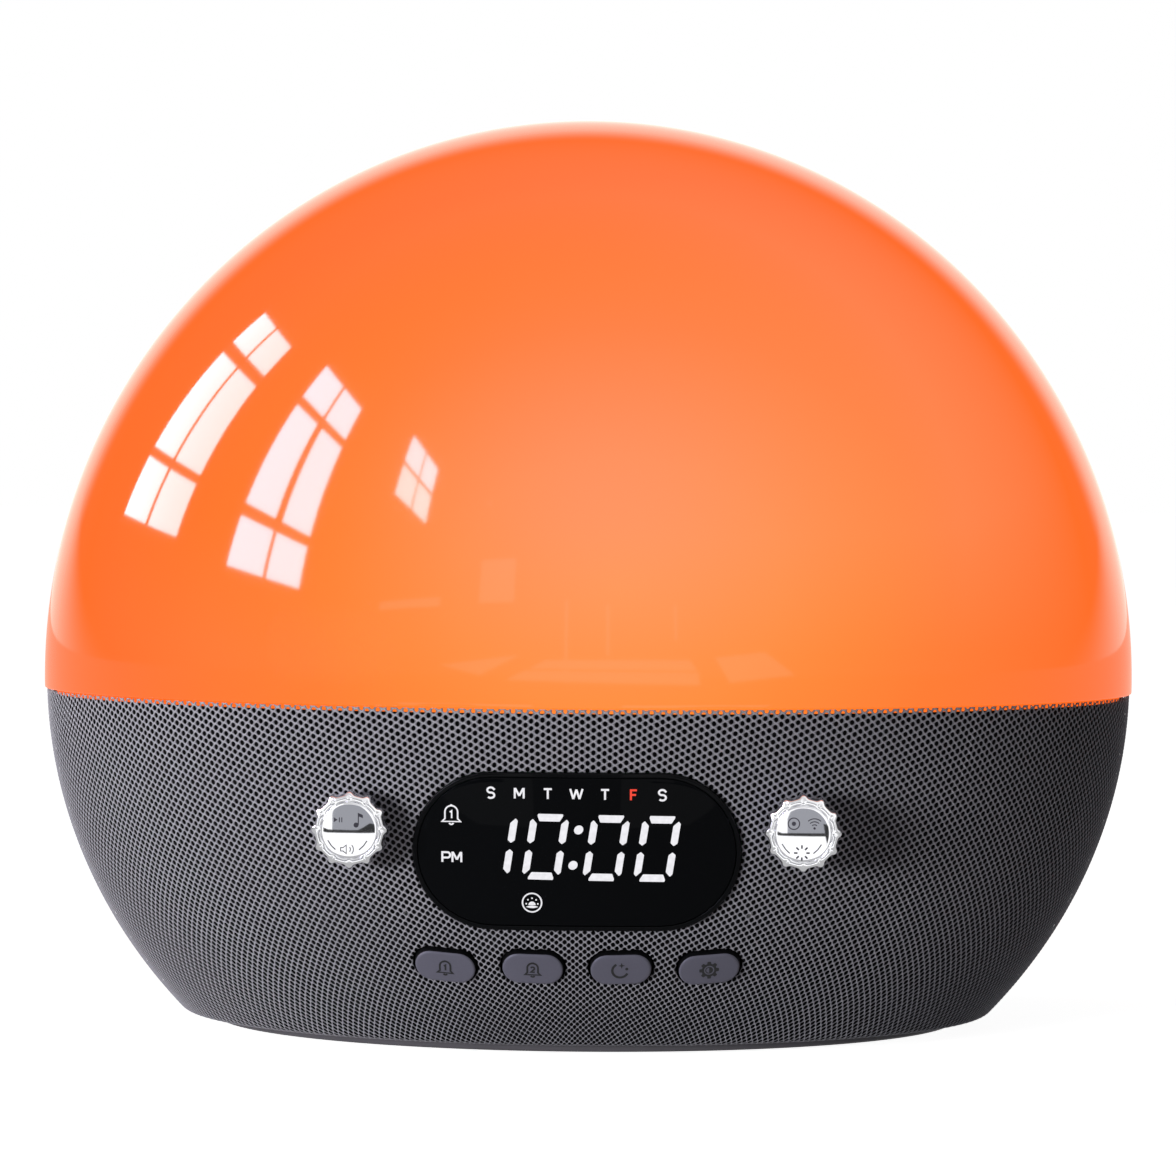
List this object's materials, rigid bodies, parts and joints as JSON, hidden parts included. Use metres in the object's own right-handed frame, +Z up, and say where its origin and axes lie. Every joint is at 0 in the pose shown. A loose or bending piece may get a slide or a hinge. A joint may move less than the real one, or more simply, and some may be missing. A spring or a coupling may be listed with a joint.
{
  "type": "sunrise alarm clock",
  "caption": "Bedside sunrise alarm clock: a glowing milky dome on an oval fabric-covered base with a black digital display, pill keys and two toothed knobs.",
  "frame": {"origin": "on the table, under the middle of the clock", "axes": "+Z up, +X to the clock's right as it is looked at, -Y towards its front"},
  "size_m": [0.2, 0.1449, 0.1661],
  "materials": {
    "milky_diffuser": "glossy, milky, glowing orange from inside",
    "white_reflector": "matt white, moulded",
    "grey_mesh_fabric": "open woven mesh of grey yarn",
    "black_shell": "matt black, moulded",
    "grey_plastic": "fine-grained, moulded",
    "foot_rubber": "matt, slightly grippy",
    "zinc_screws": "zinc plated",
    "bright_steel": "pressed and plated",
    "circuit_board": "green solder mask on glass laminate",
    "white_board": "white solder mask on aluminium",
    "led_package": "yellow phosphor in white frames",
    "chip_plastic": "moulded epoxy",
    "socket_nylon": "moulded nylon",
    "gloss_black": "polished, moulded",
    "display_window": "dark polished window with lit digits",
    "slate_keycap": "satin, with printed dark icons",
    "bright_chrome": "mirror-bright plating",
    "speaker_paper": "pressed paper cone",
    "cable_pvc": "grey insulation"
  },
  "bodies": {
    "housing": {"base_plate": "grey_plastic", "base_plate_screws": "zinc_screws", "base_shell": "black_shell", "battery_door": "grey_plastic", "battery_door_screw": "zinc_screws", "board_capacitors": "chip_plastic", "board_chips": "chip_plastic", "board_sockets": "socket_nylon", "cell_holder": "black_shell", "coin_cell": "bright_steel", "diffuser_dome": "milky_diffuser", "display_bezel": "gloss_black", "display_block": "white_reflector", "display_board": "circuit_board", "display_cable": "cable_pvc", "display_lens": "display_window", "display_screws": "zinc_screws", "display_socket": "socket_nylon", "encoder_boards": "circuit_board", "encoder_bodies": "black_shell", "encoder_screws": "zinc_screws", "fabric_sleeve": "grey_mesh_fabric", "key_board": "circuit_board", "key_board_screws": "zinc_screws", "led_board": "white_board", "led_board_screws": "zinc_screws", "led_cable": "cable_pvc", "led_chips": "led_package", "light_tray": "white_reflector", "main_board": "circuit_board", "main_board_screws": "zinc_screws", "port_panel": "grey_plastic", "power_cable": "cable_pvc", "power_socket": "black_shell", "rubber_feet": "foot_rubber", "speaker_basket": "bright_steel", "speaker_cable": "cable_pvc", "speaker_cone": "speaker_paper", "speaker_gasket": "foot_rubber", "speaker_magnet": "bright_steel", "speaker_screws": "zinc_screws", "speaker_surround": "foot_rubber", "switch_bodies": "black_shell", "tray_screws": "zinc_screws"},
    "alarm_1_key": {"alarm_1_button": "slate_keycap", "alarm_1_plunger": "socket_nylon"},
    "alarm_2_key": {"alarm_2_button": "slate_keycap", "alarm_2_plunger": "socket_nylon"},
    "sleep_key": {"sleep_button": "slate_keycap", "sleep_plunger": "socket_nylon"},
    "settings_key": {"settings_button": "slate_keycap", "settings_plunger": "socket_nylon"},
    "volume_push": {"volume_push_plunger": "socket_nylon"},
    "volume_dial": {"volume_knob": "bright_chrome", "volume_knob_face": "bright_chrome", "volume_shaft": "bright_steel"},
    "lamp_push": {"lamp_push_plunger": "socket_nylon"},
    "lamp_dial": {"lamp_knob": "bright_chrome", "lamp_knob_face": "bright_chrome", "lamp_shaft": "bright_steel"}
  },
  "joints": [
    {"name": "alarm_1_press", "type": "slide", "parent": "housing", "child": "alarm_1_key", "axis": [0, 0.9064, 0.4224], "range_m": [0, 0.0005], "stiffness_N_per_m": 800},
    {"name": "alarm_2_press", "type": "slide", "parent": "housing", "child": "alarm_2_key", "axis": [0, 0.9064, 0.4224], "range_m": [0, 0.0005], "stiffness_N_per_m": 800},
    {"name": "sleep_press", "type": "slide", "parent": "housing", "child": "sleep_key", "axis": [0, 0.9064, 0.4224], "range_m": [0, 0.0005], "stiffness_N_per_m": 800},
    {"name": "settings_press", "type": "slide", "parent": "housing", "child": "settings_key", "axis": [0, 0.9064, 0.4224], "range_m": [0, 0.0005], "stiffness_N_per_m": 800},
    {"name": "volume_push", "type": "slide", "parent": "housing", "child": "volume_push", "axis": [0, 1, 0], "range_m": [0, 0.0005], "stiffness_N_per_m": 1000},
    {"name": "volume_turn", "type": "hinge", "parent": "volume_push", "child": "volume_dial", "pos_m": [-0.038, -0.06, 0.041], "axis": [0, -1, 0], "continuous": true},
    {"name": "lamp_push", "type": "slide", "parent": "housing", "child": "lamp_push", "axis": [0, 1, 0], "range_m": [0, 0.0005], "stiffness_N_per_m": 1000},
    {"name": "lamp_turn", "type": "hinge", "parent": "lamp_push", "child": "lamp_dial", "pos_m": [0.038, -0.06, 0.041], "axis": [0, -1, 0], "continuous": true}
  ]
}
